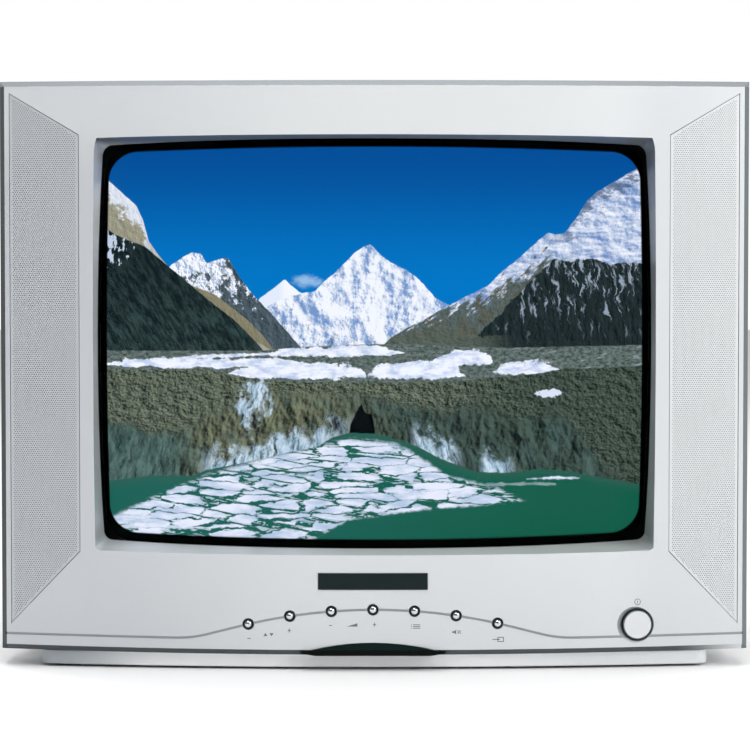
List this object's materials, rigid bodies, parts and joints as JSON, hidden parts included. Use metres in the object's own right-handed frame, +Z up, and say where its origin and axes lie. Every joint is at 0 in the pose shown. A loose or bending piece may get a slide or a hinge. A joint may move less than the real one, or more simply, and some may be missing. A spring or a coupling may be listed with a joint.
{
  "type": "tube television set",
  "caption": "Silver television set with a small picture tube, a bowed front frame with side speaker grilles, a row of domed push buttons and a plinth.",
  "frame": {"origin": "on the table, under the middle of the set's box", "axes": "+Z up, the picture faces -Y, +X is to the right of someone who looks at the picture"},
  "size_m": [0.394, 0.3744, 0.3083],
  "materials": {
    "silver_frame": "silver paint with fine metal flake on ABS, satin",
    "silver_grille": "silver painted perforated plate",
    "cabinet_plastic": "fine-textured grey polystyrene",
    "plinth_plastic": "smooth silver-grey plastic",
    "rubber_foot": "matt",
    "window_lens": "polished smoked acrylic",
    "badge": "polished",
    "chrome_button": "polished",
    "power_cap": "silver paint",
    "white_plastic": "plain",
    "control_board": "board laminate",
    "board_laminate": "paper phenolic laminate",
    "switch_body": "black moulding",
    "panel_glass": "polished tinted panel glass",
    "phosphor": "phosphor dots and black matrix on the glass",
    "funnel_glass": "graphite-coated funnel glass",
    "neck_glass": "clear glass",
    "tube_base": "moulded base with plated pins",
    "gun_metal": "deep-drawn stainless steel",
    "mask_steel": "blackened etched steel",
    "band_steel": "plated steel strip",
    "coil_tape": "taped winding",
    "anode_rubber": "silicone rubber",
    "cable_red": "high-voltage cable jacket",
    "cable_grey": "bundled leads",
    "copper_winding": "enamelled copper winding",
    "ferrite": "sintered ferrite",
    "holder_plastic": "natural nylon",
    "magnet_ring": "plastic-bonded ferrite",
    "black_plastic": "glass-filled moulding",
    "tinplate": "tinned steel",
    "jack_metal": "nickel plate",
    "aluminium_sink": "extruded",
    "component_mix": "sleeved capacitors and moulded chips",
    "speaker_steel": "zinc-plated basket",
    "cone_paper": "pressed paper",
    "speaker_magnet": "ferrite magnet and steel plates",
    "screw_steel": "zinc-plated steel",
    "gland_rubber": "moulded bush",
    "knob_plastic": "moulded knob",
    "power_switch": "switch moulding"
  },
  "bodies": {
    "cabinet": {"front_bezel": "silver_frame", "rear_cabinet": "cabinet_plastic", "base_plinth": "plinth_plastic", "rubber_feet": "rubber_foot", "speaker_grille_left": "silver_grille", "speaker_grille_right": "silver_grille", "remote_window": "window_lens", "badge_plate": "badge", "control_board": "control_board", "control_switches": "switch_body", "power_switch": "power_switch", "crt_faceplate": "panel_glass", "phosphor_screen": "phosphor", "crt_funnel": "funnel_glass", "crt_neck": "neck_glass", "tube_base": "tube_base", "electron_gun": "gun_metal", "shadow_mask": "mask_steel", "mask_frame": "mask_steel", "tension_band": "band_steel", "degauss_coil": "coil_tape", "anode_cap": "anode_rubber", "anode_lead": "cable_red", "yoke_core": "ferrite", "yoke_coils": "copper_winding", "yoke_liner": "holder_plastic", "magnet_holder": "black_plastic", "neck_board": "board_laminate", "tube_socket": "white_plastic", "main_board": "board_laminate", "flyback_transformer": "black_plastic", "tuner": "tinplate", "heatsink": "aluminium_sink", "power_transformer": "ferrite", "board_components": "component_mix", "jack_panel": "black_plastic", "av_jacks": "jack_metal", "speaker_frames": "speaker_steel", "speaker_cones": "cone_paper", "speaker_magnets": "speaker_magnet", "screws": "screw_steel", "wiring": "cable_grey", "cord_gland": "gland_rubber"},
    "programme_down_button": {"programme_down_button": "chrome_button"},
    "programme_up_button": {"programme_up_button": "chrome_button"},
    "volume_down_button": {"volume_down_button": "chrome_button"},
    "volume_up_button": {"volume_up_button": "chrome_button"},
    "menu_button": {"menu_button": "chrome_button"},
    "mute_button": {"mute_button": "chrome_button"},
    "input_button": {"input_button": "chrome_button"},
    "power_button": {"power_button": "power_cap", "power_switch_plunger": "white_plastic"},
    "focus_knob": {"focus_knob": "knob_plastic"},
    "screen_voltage_knob": {"screen_voltage_knob": "knob_plastic"},
    "purity_ring_front": {"purity_ring_front": "magnet_ring"},
    "purity_ring_rear": {"purity_ring_rear": "magnet_ring"},
    "four_pole_ring_front": {"four_pole_ring_front": "magnet_ring"},
    "four_pole_ring_rear": {"four_pole_ring_rear": "magnet_ring"},
    "six_pole_ring_front": {"six_pole_ring_front": "magnet_ring"},
    "six_pole_ring_rear": {"six_pole_ring_rear": "magnet_ring"}
  },
  "joints": [
    {"name": "programme_down_press", "type": "slide", "parent": "cabinet", "child": "programme_down_button", "axis": [0, 1, 0], "range_m": [0, 0.0006], "stiffness_N_per_m": 400, "springref_m": -0.001},
    {"name": "programme_up_press", "type": "slide", "parent": "cabinet", "child": "programme_up_button", "axis": [0, 1, 0], "range_m": [0, 0.0006], "stiffness_N_per_m": 400, "springref_m": -0.001},
    {"name": "volume_down_press", "type": "slide", "parent": "cabinet", "child": "volume_down_button", "axis": [0, 1, 0], "range_m": [0, 0.0006], "stiffness_N_per_m": 400, "springref_m": -0.001},
    {"name": "volume_up_press", "type": "slide", "parent": "cabinet", "child": "volume_up_button", "axis": [0, 1, 0], "range_m": [0, 0.0006], "stiffness_N_per_m": 400, "springref_m": -0.001},
    {"name": "menu_press", "type": "slide", "parent": "cabinet", "child": "menu_button", "axis": [0, 1, 0], "range_m": [0, 0.0006], "stiffness_N_per_m": 400, "springref_m": -0.001},
    {"name": "mute_press", "type": "slide", "parent": "cabinet", "child": "mute_button", "axis": [0, 1, 0], "range_m": [0, 0.0006], "stiffness_N_per_m": 400, "springref_m": -0.001},
    {"name": "input_press", "type": "slide", "parent": "cabinet", "child": "input_button", "axis": [0, 1, 0], "range_m": [0, 0.0006], "stiffness_N_per_m": 400, "springref_m": -0.001},
    {"name": "power_press", "type": "slide", "parent": "cabinet", "child": "power_button", "axis": [0, 1, 0], "range_m": [0, 0.0035], "stiffness_N_per_m": 300, "springref_m": -0.002},
    {"name": "focus_turn", "type": "hinge", "parent": "cabinet", "child": "focus_knob", "pos_m": [0.09, 0.08, 0.062], "axis": [0, 1, 0], "range_deg": [-150, 150]},
    {"name": "screen_voltage_turn", "type": "hinge", "parent": "cabinet", "child": "screen_voltage_knob", "pos_m": [0.09, 0.08, 0.044], "axis": [0, 1, 0], "range_deg": [-150, 150]},
    {"name": "purity_ring_front_turn", "type": "hinge", "parent": "cabinet", "child": "purity_ring_front", "pos_m": [0, 0.09, 0.1705], "axis": [0, 1, 0], "continuous": true},
    {"name": "purity_ring_rear_turn", "type": "hinge", "parent": "cabinet", "child": "purity_ring_rear", "pos_m": [0, 0.092, 0.1705], "axis": [0, 1, 0], "continuous": true},
    {"name": "four_pole_ring_front_turn", "type": "hinge", "parent": "cabinet", "child": "four_pole_ring_front", "pos_m": [0, 0.097, 0.1705], "axis": [0, 1, 0], "continuous": true},
    {"name": "four_pole_ring_rear_turn", "type": "hinge", "parent": "cabinet", "child": "four_pole_ring_rear", "pos_m": [0, 0.099, 0.1705], "axis": [0, 1, 0], "continuous": true},
    {"name": "six_pole_ring_front_turn", "type": "hinge", "parent": "cabinet", "child": "six_pole_ring_front", "pos_m": [0, 0.104, 0.1705], "axis": [0, 1, 0], "continuous": true},
    {"name": "six_pole_ring_rear_turn", "type": "hinge", "parent": "cabinet", "child": "six_pole_ring_rear", "pos_m": [0, 0.106, 0.1705], "axis": [0, 1, 0], "continuous": true}
  ]
}
